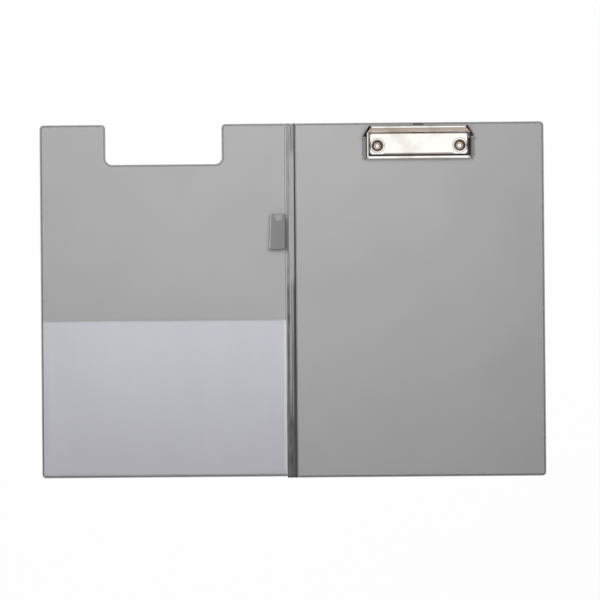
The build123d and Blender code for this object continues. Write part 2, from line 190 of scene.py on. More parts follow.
def add_object(name, data):
    piece = bpy.data.objects.new(name, data)
    bpy.context.scene.collection.objects.link(piece)
    return piece


def add_lamp(name, place, aim, side, power):
    """Square soft box at a place, aimed at a point, and not mirrored in the metal."""
    lamp = bpy.data.lights.new(name, "AREA")
    lamp.shape = "RECTANGLE"
    lamp.size = lamp.size_y = side
    lamp.energy = power
    lamp_object = add_object(name, lamp)
    lamp_object.visible_glossy = False
    lamp_object.location = place
    lamp_object.rotation_euler = (Vector(aim) - Vector(place)).to_track_quat("-Z", "Y").to_euler()


add_lamp("broad_lamp", (-0.093, 0.29, 0.60), (-0.423, 0.18, 0), 0.70, 3.85)
add_lamp("small_lamp", (0.50, 0.36, 0.60), (0, 0.05, 0), 0.20, 0.75)

camera = bpy.data.cameras.new("camera")
camera_object = add_object("camera", camera)
camera_height = 2.5
pixel = 0.912 * mm
picture_width = pixel * 600
camera.sensor_width = 36
camera.lens = camera.sensor_width * camera_height / picture_width
camera_object.location = (6.45 * mm, 0.42 * mm, camera_height)
camera_object.rotation_euler = (0, 0, math.radians(-0.486))
bpy.context.scene.camera = camera_object
bpy.context.scene.view_settings.view_transform = "Standard"

# The table top reaches so far that low views end in white.
table_reach = 6.0
table_level = -0.06 * mm
table_mesh = bpy.data.meshes.new("table_top")
table_corners = [
    (x * table_reach, y * table_reach, table_level) for x, y in ((-1, -1), (1, -1), (1, 1), (-1, 1))
]
table_mesh.from_pydata(table_corners, [], [(0, 1, 2, 3)])
table = add_object("table_top", table_mesh)
table_finish = Finish(bpy.data.materials.new("white_table"))
matt = table_finish.add("ShaderNodeBsdfDiffuse", None, {"Color": grey(0.9)})
white = table_finish.add("ShaderNodeEmission", None, {"Color": grey(1.0), "Strength": 1.0})
looked_at = table_finish.ray("Camera").most(table_finish.ray("Glossy"))
shown = looked_at.most(table_finish.ray("Transmission")) * 0.965
table_look = table_finish.add("ShaderNodeMixShader", None, {0: shown, 1: matt, 2: white})
table.data.materials.append(table_finish.close(table_look))


# Outer films and boards.
# One layer of grey soft vinyl, 0.3 mm thick, lies under each panel, and a stiff grey board on it.
# The vinyl has a fine leather-like grain, rolled in while it is warm; the boards are hidden.
grain_scale = 2600
cell_scale = 1500
grain_height = 0.06 * mm
wave_height = 2.0 * mm


def film_finish(name, shade=0.40, painted_light_tone=None, painted_shadow=None):
    """Grained vinyl; the third argument is a tone of painted light, as a share of its shade, used
    where the mesh's own attribute says so: painted shade below 1, painted highlight above 1.
    """
    film = Finish(bpy.data.materials.new(name))
    point = film.place()
    grain = film.cloud(point, grain_scale, 3.0, 0.6)
    cell_inputs = {"Vector": point, "Scale": cell_scale}
    cells = film.add("ShaderNodeTexVoronoi", {"feature": "SMOOTH_F1"}, cell_inputs)
    patches = film.cloud(point, 9, 3.0, 0.55)
    smudge = film.cloud(film.place((1, 0.35, 1), (0, 0, 0.6)), 46, 4.0, 0.62)
    soiled = (shade * 0.86, shade * 0.86, shade * 0.88, 1)
    colour = film.tint(patches.step(0.3, 0.7), grey(shade * 0.975), grey(shade * 1.03))
    colour = film.tint(smudge.step(0.55, 0.8) * 0.12, colour, soiled)
    colour = film.tint(grain.step(0.35, 0.7) * 0.12, colour, grey(shade * 0.72))
    roughness = 0.5 + (grain - 0.5) * 0.16 + (smudge - 0.5) * 0.12
    # Painted light from the mesh's sunk attribute: painted shade in seams and spine grooves,
    # painted highlight on the pen loop.
    if painted_light_tone:
        sunk = film.add("ShaderNodeAttribute", {"attribute_name": "sunk"}, None, "Fac")
        colour = film.tint(sunk, colour, grey(shade * painted_light_tone))
        roughness = roughness - sunk * 0.14
    if painted_shadow:
        # Painted shadow of the clip: a soft-edged rectangle, given by its middle and its half size,
        # darkens the vinyl under it.
        middle, half = painted_shadow
        across, along, level = film.axes(point)
        off_side = abs(across - middle.x) - half.x
        off_end = abs(along - middle.y) - half.y
        shadow_share = off_side.most(off_end).step(0.7 * mm, -1.1 * mm)
        colour = film.tint(shadow_share, colour, (0.10, 0.09, 0.08, 1))
    normal = film.bump(film.cloud(point, 13, 1.0, 0.4), 0.30, wave_height)
    normal = film.bump(grain * 0.5 + cells * 0.5, 0.30, grain_height, normal)
    looks = {"Base_Color": colour, "Roughness": roughness, "Normal": normal}
    return film.close(film.surface(Specular_IOR_Level=0.35, **looks))


def assign(piece, material):
    piece.data.materials.clear()
    piece.data.materials.append(material)


grey_film = film_finish("grey_vinyl")
for name in ("board_outer_film", "cover_outer_film"):
    assign(nodes[name], grey_film)

card = Finish(bpy.data.materials.new("grey_board"))
fibres = card.cloud(card.place((1, 4, 1)), 600, 5.0, 0.7)
card_colour = card.tint(fibres, (0.40, 0.37, 0.32, 1), (0.50, 0.47, 0.42, 1))
card_normal = card.bump(fibres, 0.4, 0.1 * mm)
card_board = card.close(card.surface(Base_Color=card_colour, Roughness=0.9, Normal=card_normal))
for name in ("board_core", "cover_core"):
    assign(nodes[name], card_board)


# Inner films of the panels.
# The upper vinyl is drawn over each board and welded to the lower one round it; the heated tool
# leaves a narrow sunk seam with a bead of melt along the trimmed edge, darkened with painted shade.
board_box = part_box("board_inner_film")
cover_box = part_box("cover_inner_film")
corner_steps = 8
outer_corner = 3.6 * mm
near_corner = 0.8 * mm
least_corner = 0.2 * mm
least_outer_corner = 0.5 * mm
weld_width = 1.6 * mm
film_wall = 0.3 * mm
# Inset from the edge and height over the table, both in mm.
weld_profile = [(0.00, 0.30), (0.00, 0.44), (0.09, 0.58), (0.35, 0.66), (0.62, 0.61), (0.85, 0.50)]
weld_profile += [(1.15, 0.46), (1.42, 0.50), (1.57, 0.62)]
# Inset from the edge and drop under the film's face, in mm; then how much painted shade each inset
# gets.
shoulder_profile = [(1.63, 0.62), (1.72, 0.30), (1.95, 0.09), (2.40, 0.0), (3.4, 0.0)]
seam_shade = {0.62: 0.3, 0.85: 0.8, 1.15: 1.0, 1.42: 1.0, 1.57: 1.0, 1.63: 0.8, 1.72: 0.25}


def corner_run(corners):
    """Closed run of points round a plan whose corners are (x, y, radius)."""
    run = []
    for index, (x, y, radius) in enumerate(corners):
        here = Vector((x, y))
        arrive = (Vector(corners[index - 1][:2]) - here).normalized() * radius
        leave = (Vector(corners[(index + 1) % len(corners)][:2]) - here).normalized() * radius
        for step in range(corner_steps + 1):
            turn = math.pi / 2 * step / corner_steps
            run.append(here + arrive * (1 - math.sin(turn)) + leave * (1 - math.cos(turn)))
    return run


def near_inset(inset):
    """Beside the spine the wall is upright up to the weld's width, and only then draws in."""
    return 0.04 * min(inset, weld_width) + 0.5 * max(inset - weld_width, 0)


def panel_edges(box, inset):
    """Foot and top of a panel, drawn in, and its corner radii beside the spine and far from it."""
    near = max(near_corner - near_inset(inset), least_corner)
    return box[0].y + inset, box[1].y - inset, near, max(outer_corner - inset, least_outer_corner)


def board_plan(inset):
    x_near = board_box[0].x + near_inset(inset)
    x_far = board_box[1].x - inset
    y_low, y_high, near, far = panel_edges(board_box, inset)
    return [
        (x_near, y_low, near),
        (x_far, y_low, far),
        (x_far, y_high, far),
        (x_near, y_high, near),
    ]


notch_middle = -116.85 * mm
notch_half = 52.95 * mm
notch_depth = 36.5 * mm
notch_inner_corner = 6.0 * mm
notch_outer_corner = 3.6 * mm


def cover_plan(inset):
    x_near = cover_box[1].x - near_inset(inset)
    x_far = cover_box[0].x + inset
    y_low, y_high, near, far = panel_edges(cover_box, inset)
    inner = notch_inner_corner + inset
    outer = max(notch_outer_corner - inset, least_outer_corner)
    y_notch = cover_box[1].y - notch_depth - inset
    half = notch_half + inset
    return [
        (x_far, y_low, far),
        (x_near, y_low, near),
        (x_near, y_high, near),
        (notch_middle + half, y_high, outer),
        (notch_middle + half, y_notch, inner),
        (notch_middle - half, y_notch, inner),
        (notch_middle - half, y_high, outer),
        (x_far, y_high, far),
    ]


def join_rings(shape, rings, closed=True):
    """Faces between each ring of vertices and the next."""
    for first, second in zip(rings, rings[1:]):
        for index in range(len(first) - (0 if closed else 1)):
            after = (index + 1) % len(first)
            shape.faces.new((first[index], first[after], second[after], second[index]))


def marked_rings(shape, rings):
    """Joined rings of vertices, made from pairs of a point and its share of painted light."""
    depth = shape.verts.layers.float.new("sunk")
    made = []
    for ring in rings:
        made.append([])
        for point, sunk in ring:
            vertex = shape.verts.new(point)
            vertex[depth] = sunk
            made[-1].append(vertex)
    join_rings(shape, made)
    return made


def shape_object(name, shape, flat_ends=False, sheet=False):
    """Object of a shape, faces outwards and shaded softly; a sheet's highest face looks up."""
    bmesh.ops.recalc_face_normals(shape, faces=shape.faces)
    if sheet:
        top = max(shape.faces, key=lambda face: face.calc_center_median().z + face.calc_area())
        if top.normal.z < 0:
            bmesh.ops.reverse_faces(shape, faces=shape.faces)
    for face in shape.faces:
        face.smooth = len(face.verts) == 4 or not flat_ends
    mesh = bpy.data.meshes.new(name)
    shape.to_mesh(mesh)
    shape.free()
    return add_object(name, mesh)


def filled_shell(name, rings, flat_ends=False):
    """Closed shell through rings of equal counts; the first and last ring are filled."""
    shape = bmesh.new()
    made = marked_rings(shape, rings)
    shape.faces.new(list(reversed(made[0])))
    shape.faces.new(made[-1])
    return shape_object(name, shape, flat_ends)


def make_inner_film(name, plan, top):
    """Film over one board: cavity first, then the seam, the shoulder and the flat."""
    cavity = weld_width + film_wall
    stages = [(cavity, top - film_wall, 0.0), (cavity, film_wall, 0.0)]
    for inset, height in weld_profile:
        stages.append((inset * mm, height * mm, seam_shade.get(inset, 0.0)))
    for inset, drop in shoulder_profile:
        stages.append((inset * mm, top - drop * mm, seam_shade.get(inset, 0.0)))
    rings = []
    for inset, level, sunk in stages:
        rings.append([((point.x, point.y, level), sunk) for point in corner_run(plan(inset))])
    return filled_shell(name, rings)


# Painted shadow where the clip shades the vinyl under it.
clip_shadow_patch = (Vector((115.45, 138.6)) * mm, Vector((48.6, 9.6)) * mm)
# Both inner faces get painted shade in their sunk seams.
seamed_film = film_finish("seamed_vinyl", painted_light_tone=0.60)
clip_shadowed_film = film_finish("clip_shadowed_vinyl", painted_light_tone=0.60, painted_shadow=clip_shadow_patch)
for name, plan, box, body in (
    ("board_inner_face", board_plan, board_box, "board"),
    ("cover_inner_face", cover_plan, cover_box, "cover"),
):
    face_piece = make_inner_film(name, plan, box[1].z)
    assign(face_piece, clip_shadowed_film if body == "board" else seamed_film)
    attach(face_piece, body)
    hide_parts(body + "_inner_film")


# Spine.
# Both films run on across the narrow spine, where three ribs are pressed into them so that they
# bend; each half is one strip from its own crease to the middle, where they meet.
spine_low, spine_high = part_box("spine_outer_film")
spine_middle = (spine_low.x + spine_high.x) / 2
film_edge = 0.05 * mm
rib_places = [-1.90 * mm, -0.10 * mm, 1.72 * mm]
rib_lines = [-1.0 * mm, 0.84 * mm]
rib_half = 0.78 * mm
rib_height = 0.50 * mm
drift_width = 1.0 * mm
nick_place = -0.25 * mm
nick_half = 0.9 * mm
nick_depth = 0.9 * mm
spine_rows = 96
spine_columns = 40


def rib_level(x):
    """Height of the ribs over the bottom of the grooves, as a share of a rib's height."""
    level = 0.0
    for place in rib_places:
        share = min(abs(x - place) / rib_half, 1.0)
        level = max(level, 0.5 + 0.5 * math.cos(math.pi * share))
    return level


def bell(value, middle, half):
    return math.exp(-(((value - middle) / half) ** 2))


def ramp(value, low, high):
    """Smooth step from 0 at low to 1 at high."""
    share = min(max((value - low) / (high - low), 0.0), 1.0)
    return share * share * (3 - 2 * share)


def spine_painted_shade(x, share):
    """Painted shade in the spine's grooves, deepest at its sagging foot and beside the pen loop,
    with a painted highlight along the third rib near the top; share runs from the foot to the top.
    """
    foot = 1 - ramp(share, 0.12, 0.34)
    low = 1 - ramp(share, 0.53, 0.57)
    head = ramp(share, 0.90, 0.93)
    beside_loop = ramp(share, 0.630, 0.645) * (1 - ramp(share, 0.725, 0.740))
    patch = noise.noise(Vector((x * 500, share * 30, 8.0)))
    groove = 1 - ramp(x + beside_loop * 0.6 * mm, -3.0 * mm, -2.5 * mm)
    groove = groove * max(ramp(x, -5.6 * mm, -5.1 * mm), beside_loop)
    groove_shade = 0.45 + 0.25 * patch * (1 - beside_loop) + 0.35 * low + 0.35 * beside_loop
    first_rib, second_rib, third_rib = rib_places
    rib_dark = (1 - ramp(share, 0.36, 0.46)) * bell(x, second_rib, 0.5 * mm)
    rib_highlight = 0.45 * bell(x, third_rib, 0.3 * mm) * head
    board_groove = ramp(x + 0.3 * mm * low, 1.1 * mm, 1.5 * mm) * (0.97 - rib_highlight)
    line = 0.14 + 0.85 * max(head, low)
    return max(
        foot * (0.85 + 0.25 * patch),
        groove * groove_shade,
        0.6 * rib_dark,
        board_groove,
        line * bell(x, rib_lines[0], 0.36 * mm),
        line * bell(x, rib_lines[1], 0.40 * mm),
        0.8 * head * bell(x, first_rib, 0.16 * mm),
    )


def spine_point(x, row, top):
    """Point of the spine's upper or lower face, and how much painted shade it gets."""
    share = row / (spine_rows - 1)
    y = spine_low.y + (spine_high.y - spine_low.y) * share
    across = (x - spine_low.x) / (spine_high.x - spine_low.x)
    drift = drift_width * (share - 0.5) * ramp(across, 0.0, 0.3) * ramp(1 - across, 0.0, 0.22)
    wander = 0.12 * mm * noise.noise(Vector((0, y * 26, 3.0)))
    x_ribs = x - drift + wander
    wear_and_highlight = 0.55 + 0.45 * ramp(share, 0.1, 0.4)
    height = film_wall + rib_height * rib_level(x_ribs) * wear_and_highlight if top else 0.0
    bite = max(0.0, 1 - abs(x - nick_place) / nick_half) * nick_depth
    if row == 0:
        y += bite
    if row == spine_rows - 1:
        y -= bite
    shade = spine_painted_shade(x_ribs, share) if top else 0.0
    return (x, y, height), max(0.0, min(1.0, shade))


def make_spine_half(name, first, last):
    steps = range(spine_columns + 1)
    columns = [first + (last - first) * step / spine_columns for step in steps]
    rings = []
    for row in range(spine_rows):
        upper = [spine_point(x, row, True) for x in columns]
        rings.append(upper + [spine_point(x, row, False) for x in reversed(columns)])
    return filled_shell(name, rings, flat_ends=True)


# Painted shade takes the spine's grooves down to 0.12 of its tone.
ribbed_film = film_finish("ribbed_vinyl", 0.44, 0.12)
bend_width = 0.62 * mm
cover_seam = spine_low.x - film_edge
board_seam = spine_high.x + film_edge
for name, first, last, panel in (
    ("spine_cover_half", cover_seam, spine_middle, "cover"),
    ("spine_board_half", spine_middle, board_seam, "board"),
):
    half_piece = make_spine_half(name, first, last)
    assign(half_piece, ribbed_film)
    seam = cover_seam if panel == "cover" else board_seam
    side = 1 if panel == "cover" else -1
    bend_end = (seam + side * bend_width, 0, 0)
    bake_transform(half_piece)
    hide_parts("spine_outer_film", "spine_inner_film")


# Clear pocket.
# A sheet of clear vinyl, 0.2 mm thick, is welded to the cover along its foot and both sides and
# open at the top; it stands off a little, bulges softly and mirrors the ceiling.
pocket_low, pocket_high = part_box("pocket_film")
pocket_rows = 60
pocket_columns = 150
pocket_near = pocket_high.x + 0.6 * mm
pocket_top = pocket_high.y + 0.9 * mm
pocket_wall = 0.2 * mm
pocket_seam = 1.6 * mm
swell_reach = 38 * mm
lower_fold = -9.7 * mm
lower_fold_lean = 3.7 * mm
upper_fold = -8.6 * mm


def pocket_level(x, y):
    """Height of the pocket's upper face over the cover."""
    side = min(x - pocket_low.x, pocket_near - x)
    foot = y - pocket_low.y
    near = min(side, foot)
    lift = ramp(near, pocket_seam * 0.5, pocket_seam * 2.7)
    seam = bell(near, pocket_seam * 0.7, 0.45 * mm)
    swell = min(side / swell_reach, 1.0) * min(foot / swell_reach, 1.0)
    waves = noise.noise(Vector((x * 17 + 3, y * 23, 1.7)))
    crumple = noise.noise(Vector((x * 60, y * 44, 9.1)))
    fold_place = lower_fold + lower_fold_lean * max((-105 * mm - y) / (52 * mm), 0.0) ** 1.2
    fold = 0.34 * ramp(-y, 92 * mm, 116 * mm) * bell(x, fold_place, 0.8 * mm)
    fold += 0.30 * ramp(y, -45 * mm, -22 * mm) * bell(x, upper_fold, 1.0 * mm)
    bulge = 0.10 + 0.55 * swell + swell * 0.55 * waves + 0.10 * crumple
    return pocket_high.z + (fold + lift * bulge - seam * 0.06) * mm


def pocket_row(shape, row, sink):
    """One row of vertices across the pocket, closer together at its two sides."""
    y = pocket_low.y + (pocket_top - pocket_low.y) * row / pocket_rows
    line = []
    for column in range(pocket_columns + 1):
        across = column / pocket_columns
        across = across - 0.12 * math.sin(2 * math.pi * across)
        x = pocket_low.x + (pocket_near - pocket_low.x) * across
        line.append(shape.verts.new((x, y, pocket_level(x, y) - sink)))
    return line


def make_pocket():
    shape = bmesh.new()
    borders = []
    for sink in (0.0, pocket_wall):
        grid = [pocket_row(shape, row, sink) for row in range(pocket_rows + 1)]
        join_rings(shape, grid, closed=False)
        border = grid[0] + [line[-1] for line in grid[1:]] + list(reversed(grid[-1][:-1]))
        borders.append(border + [line[0] for line in reversed(grid[1:-1])])
    join_rings(shape, borders)
    return shape_object("clear_pocket", shape)


clear = Finish(bpy.data.materials.new("clear_vinyl"))
clear_point = clear.place()
clear_across, clear_along = clear.axes(clear_point)[:2]
# Painted sheen: the clear film is drawn near-white and part opaque for the light it reflects, more
# opaque towards the top.
sheen_opacity = clear_along.step(-0.16, -0.03, 0.34, 0.46)
streaks = clear.cloud(clear.place((1, 0.25, 1), (0, 0, 0.2)), 30, 3.0, 0.5)
clear_colour = clear.tint(streaks, (0.79, 0.785, 0.85, 1), (0.86, 0.855, 0.92, 1))
# Painted highlight along the film's spine-side edge.
edge_highlight = clear_across.step(-9.5 * mm, -7.5 * mm)
clear_colour = clear.tint(edge_highlight, clear_colour, (1.0, 0.99, 1.0, 1))
clear_rough = 0.10 + streaks * 0.06
clear_normal = clear.bump(clear.cloud(clear_point, 24, 1.0, 0.4), 0.25, 3.0 * mm)
clear_looks = {"Base_Color": clear_colour, "Roughness": clear_rough, "Alpha": sheen_opacity}
clear_sheet = clear.close(clear.surface(Normal=clear_normal, IOR=1.5, **clear_looks))
pocket = make_pocket()
assign(pocket, clear_sheet)
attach(pocket, "cover")
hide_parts("pocket_film")


# Pen loop.
# A strip of the same vinyl is folded over itself into a flat tube, its two ends welded together
# beside the spine; the top layer has sagged and its upper edge is pressed in. Painted shade
# darkens its tone, and painted highlights lighten the dent and the outer fold.
loop_low, loop_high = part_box("pen_loop")
loop_near = loop_high.x + 0.80 * mm
loop_fold = 1.9 * mm
loop_rows = 48
quarter_turn = [math.pi / 2 * step / 10 for step in range(11)]


def loop_path():
    """Middle line of the strip's thickness, from its lower end round the fold to its upper end."""
    half = film_wall / 2
    low = loop_low.z + half
    high = loop_high.z - half
    far = loop_low.x + half
    tab = loop_near - 0.25 * mm
    crest = tab - 1.0 * mm
    points = [(loop_near, low), (tab, low)]
    points += [(loop_near - (loop_near - far) * share, low) for share in (0.3, 0.5, 0.7)]
    for turn in quarter_turn:
        run, rise = loop_fold * (1 - math.sin(turn)), loop_fold * (1 - math.cos(turn))
        points.append((far + run, low + rise))
    for turn in quarter_turn:
        run, rise = loop_fold * (1 - math.cos(turn)), loop_fold * (1 - math.sin(turn))
        points.append((far + run, high - rise))
    start = far + loop_fold
    for step in range(1, 22):
        sag = 0.25 * mm * math.sin(math.pi * step / 22)
        points.append((start + (crest - start) * step / 22, high - sag))
    welded = low + film_wall
    for share in (0.0, 0.12, 0.3, 0.5, 0.7, 0.88, 1.0):
        points.append((crest + (tab - crest) * share, high + (welded - high) * ramp(share, 0, 1)))
    points.append((loop_near, welded))
    return points


def loop_point(x, z, share):
    """Moves a point of the strip for the leaning fold, the bowed foot and the pressed mouth.

    Share runs up the loop; with the point goes its share of painted highlight, on the dent and
    along the outer fold.
    """
    reach = min(max((loop_high.x - x) / (loop_high.x - loop_low.x), 0), 1)
    lift = min(max((z - loop_low.z) / (loop_high.z - loop_low.z), 0), 1)
    lean = reach * (1.5 + (share - 0.5) * 1.6) * mm
    bow = (1 - share) * 0.5 * mm * math.sin(math.pi * reach)
    y = loop_low.y + (loop_high.y - loop_low.y) * share - bow
    middle = (loop_low.x + loop_high.x) / 2 + 1.0 * mm
    mouth = bell(x, middle, 3.4 * mm) * bell(1 - share, 0, 0.13)
    drop = lift * (0.8 * mm * mouth + 0.5 * mm * math.sin(math.pi * share) * reach)
    dent = 0.21 * math.sqrt(max(1 - ((x - middle) / (4.5 * mm)) ** 2, 0.0))
    dent_highlight = 0.20 * ramp(dent - (1 - share), 0.0, 0.03) * ramp(lift, 0.5, 0.8)
    # Painted highlight along the outer fold, and on the dent's edge.
    wear_and_highlight = max(dent_highlight, 0.95 * bell(x, loop_low.x + 0.35 * mm, 0.65 * mm))
    return (x + lean, y, z - drop), wear_and_highlight


def loop_section():
    """Outline of the folded strip: out along one face of its path and back along the other."""
    path = [Vector(point) for point in loop_path()]
    outer = []
    inner = []
    for index, point in enumerate(path):
        along = path[min(index + 1, len(path) - 1)] - path[max(index - 1, 0)]
        along.normalize()
        across = Vector((-along.y, along.x)) * film_wall / 2
        outer.append(point + across)
        inner.append(point - across)
    return outer + list(reversed(inner))


def make_pen_loop():
    """Folded strip; its two ends are filled between its outer and inner line."""
    shape = bmesh.new()
    section = loop_section()
    rings = []
    for row in range(loop_rows + 1):
        rings.append([loop_point(point.x, point.y, row / loop_rows) for point in section])
    made = marked_rings(shape, rings)
    for ring in (made[0], made[-1]):
        for index in range(len(ring) // 2 - 1):
            opposite = len(ring) - 1 - index
            shape.faces.new((ring[index], ring[index + 1], ring[opposite - 1], ring[opposite]))
    return shape_object("folded_pen_loop", shape)


loop_piece = make_pen_loop()
# About half the panels' tone as painted shade; the attribute's share lifts it to a painted
# highlight.
assign(loop_piece, film_finish("shaded_loop_vinyl", 0.215, 3.2))
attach(loop_piece, "cover")
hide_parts("pen_loop")


# Clip frame.
# A ring drawn from 0.9 mm steel strip and bright nickel plated: finger lip at the back, slanted
# shoulders, two arms that roll over into their sides, and the jaw bar that grips the sheets.
# Behind this line the clip's low parts get painted shade.
painted_shade_rear = 129.6 * mm


def steel_finish(name, colour, roughness, wave, painted_shade_levels=None):
    """Plated steel with faint drawing marks and dull patches on an uneven sheet.

    The last argument gives two levels: below them, behind the jaw bar, the steel darkens towards
    near black, painted shade on the clip's low walls and in its hollows.
    """
    steel = Finish(bpy.data.materials.new(name))
    point = steel.place()
    rolled = steel.cloud(steel.place((6, 0.5, 6)), 900, 3.0, 0.6)
    dull = steel.cloud(point, 52, 3.0, 0.5)
    uneven = steel.cloud(point, 48, 1.5, 0.35)
    dark = (colour[0] * 0.86, colour[1] * 0.84, colour[2] * 0.82, 1)
    base = steel.tint(dull.step(0.48, 0.72) * 0.9, (*colour, 1), dark)
    rough = roughness + dull.step(0.4, 0.8) * 0.08
    if painted_shade_levels:
        # Painted shade: the low parts behind the jaw bar go towards near black.
        across, along, level = steel.axes(point)
        rear_part = along.step(painted_shade_rear, painted_shade_rear + 1.0 * mm)
        painted_shade_share = (1 - level.step(painted_shade_levels[0], painted_shade_levels[1])) * rear_part
        painted_shade_colour = (colour[0] * 0.24, colour[1] * 0.18, colour[2] * 0.14, 1)
        base = steel.tint(painted_shade_share, base, painted_shade_colour)
        rough = rough + painted_shade_share * 0.18
    normal = steel.bump(uneven, wave, 1.2 * mm)
    normal = steel.bump(rolled, 0.12, 0.02 * mm, normal)
    shader = steel.surface(Base_Color=base, Roughness=rough, Normal=normal, Metallic=1.0)
    return steel.close(shader)


clip_middle = 115.45
board_face = board_box[1].z
rear_edge = board_box[1].y
# Half widths across, depths from the board's rear edge and levels over the board, in mm.
frame_half = 50.8
window_half = 46.3
window_front = 31.0
window_rear = 9.4
window_shift = 0.6
arm_level = 5.4
arm_foot = 0.8
arm_rear = 12.8
lip_level = 8.8
lip_rear = 2.8
lip_front = 9.3
lip_slope = 0.93
lip_half = 44.9
lip_crest = 3.95
crest_slope = 0.72
jaw_front = 34.0
jaw_bend = 33.2
jaw_half = frame_half - 1.0
skirt_level = 6.1
strip = 0.9
shoulder = 46.8
shoulder_slope = 0.88
shoulder_rear = 3.0
shoulder_length = 8.8
shoulder_width = 5.9
# How the strip rolls over its edge: shares of the run and of the drop.
roll_turns = [math.pi / 18 * step for step in range(1, 10)]
round_roll = [(math.sin(turn), 1 - math.cos(turn)) for turn in roll_turns]
flared_roll = [(0.07, 0.004), (0.12, 0.022), (0.20, 0.066), (0.30, 0.122), (0.38, 0.17)]
flared_roll += [(0.45, 0.235), (0.60, 0.43), (0.80, 0.71), (1.0, 1.0)]


def in_clip(across, depth, level):
    """Point from the middle of the clip, from the board's rear edge and above the board."""
    return Vector(((clip_middle + across) * mm, rear_edge - depth * mm, board_face + level * mm))


def soft_least(first, second, blur):
    return 0.5 * (first + second - math.sqrt((first - second) ** 2 + blur * blur))


def soft_most(first, second, blur):
    return -soft_least(-first, -second, blur)


def frame_level(across, depth):
    """Height of the strip's upper face."""
    side = abs(across)
    lip_rise = lip_level - arm_level
    crown = max(side - window_half, 0.0) / (frame_half - window_half)
    bar = max(depth - window_front, 0.0) / (jaw_front - window_front)
    arm = arm_level - 0.2 * crown * crown - 0.35 * bar
    lip = soft_least(soft_most((lip_front - depth) * lip_slope, 0.0, 0.4), lip_rise, 0.25)
    lip = soft_least(lip, lip_rise - (lip_crest - depth) * crest_slope, 0.15)
    slant = arm_level + (shoulder - side) * shoulder_slope
    return soft_least(arm + lip, slant, 0.2)


def frame_outline(depth):
    """Half width of the frame, drawn in along the shoulders towards the lip."""
    spread = shoulder_width * max(depth - shoulder_rear, 0.0) / shoulder_length
    return min(frame_half, lip_half + spread)


def lower_edge(depth):
    """Height of the strip's lower edge along the arms and shoulders."""
    slanted = arm_level + (shoulder - frame_outline(depth)) * shoulder_slope - 0.6
    return arm_foot + (slanted - arm_foot) * min(max((arm_rear - depth) / 0.6, 0.0), 1.0)


def frame_stations():
    """Round the ring: window edge, outer edge, bend radius, foot of the wall and its level."""
    bar = []
    for index in range(61):
        across = window_half * (-1 + 2 * index / 60)
        wide = across * jaw_half / window_half
        bar.append(((across, window_front), (wide, jaw_bend), 0.6, (wide, jaw_front), 0.05))
    right = []
    for index in range(1, 8):
        turn = math.pi / 2 * index / 8
        corner = (jaw_half + math.sin(turn), jaw_bend - 1.0 + math.cos(turn))
        foot = (corner[0], corner[1] + 0.8 * (1.0 - ramp(turn, 0.0, 1.4)))
        level = 0.05 + 0.75 * ramp(turn, 0.3, 1.0)
        bend = 0.6 + 2.4 * ramp(turn, 0.2, 1.5)
        right.append(((window_half, window_front), corner, bend, foot, level))
    for index in range(41):
        depth = window_front + (window_rear - window_front) * index / 40
        edge = (frame_outline(depth), depth)
        bend = 0.3 + 2.7 * ramp(depth, 11.0, 14.5)
        right.append(((window_half, depth), edge, bend, edge, lower_edge(depth)))
    for index in range(1, 15):
        depth = window_rear + (lip_rear + 0.4 - window_rear) * index / 14
        edge = (frame_outline(depth), depth)
        right.append(((window_half, window_rear), edge, 0.3, edge, lower_edge(depth)))
    lip = []
    for index in range(61):
        share = 1 - 2 * index / 60
        share = 0.35 * share + 0.65 * math.sin(math.pi / 2 * share)
        level = 7.3 + (skirt_level - 7.3) * ramp(1 - abs(share), 0.005, 0.03)
        edge = ((frame_outline(lip_rear) - 0.3) * share, lip_rear)
        lip.append(((window_half * share, window_rear), edge, 0.3, edge, level))
    left = []
    for inner, outer, bend, foot, level in reversed(right):
        inner, outer, foot = [(-across, depth) for across, depth in (inner, outer, foot)]
        left.append((inner, outer, bend, foot, level))
    return bar + right + lip + left


def frame_ring(inner, outer, bend, foot, level):
    """Points of the outer surface from the window's edge over the bend down to the lower edge."""
    inner = Vector((inner[0] + window_shift, inner[1]))  # the window isn't quite in the middle
    outer = Vector(outer)
    foot = Vector(foot)
    run = outer - inner
    shelf = inner + run * max(1 - bend / run.length, 0.02)
    points = []
    for step in range(17):
        spot = inner + (shelf - inner) * step / 16
        points.append((spot.x, spot.y, frame_level(spot.x, spot.y)))
    high = points[-1][2]
    low = min(level, high - 0.25)
    drop = min(bend * 1.4, high - low) * 0.98  # a little of the wall is left under the bend
    flare = ramp(bend, 0.8, 2.6)
    for (run_share, drop_share), (flared_run, flared_drop) in zip(round_roll, flared_roll):
        spot = shelf + (outer - shelf) * (run_share + (flared_run - run_share) * flare)
        sunk = drop * (drop_share + (flared_drop - drop_share) * flare)
        points.append((spot.x, spot.y, high - sunk))
    start = points[-1][2]
    for step in range(1, 5):
        spot = outer + (foot - outer) * step / 4
        points.append((spot.x, spot.y, start + (low - start) * step / 4))
    return [in_clip(*point) for point in points]


def give_wall(piece, wall):
    """Gives a sheet its thickness, inwards."""
    solidify = piece.modifiers.new("wall", "SOLIDIFY")
    solidify.thickness = wall * mm
    solidify.offset = -1


def wear_edges(piece, width, angle):
    """Rounds the edges that are sharper than the angle in degrees."""
    bevel = piece.modifiers.new("worn_edge", "BEVEL")
    bevel.width = width * mm
    bevel.segments = 2
    bevel.limit_method = "ANGLE"
    bevel.angle_limit = math.radians(angle)


def finished(piece):
    """Applies a piece's modifiers, so that its mesh is final."""
    view = bpy.context.evaluated_depsgraph_get()
    mesh = bpy.data.meshes.new_from_object(piece.evaluated_get(view))
    piece.modifiers.clear()
    piece.data = mesh
    return piece


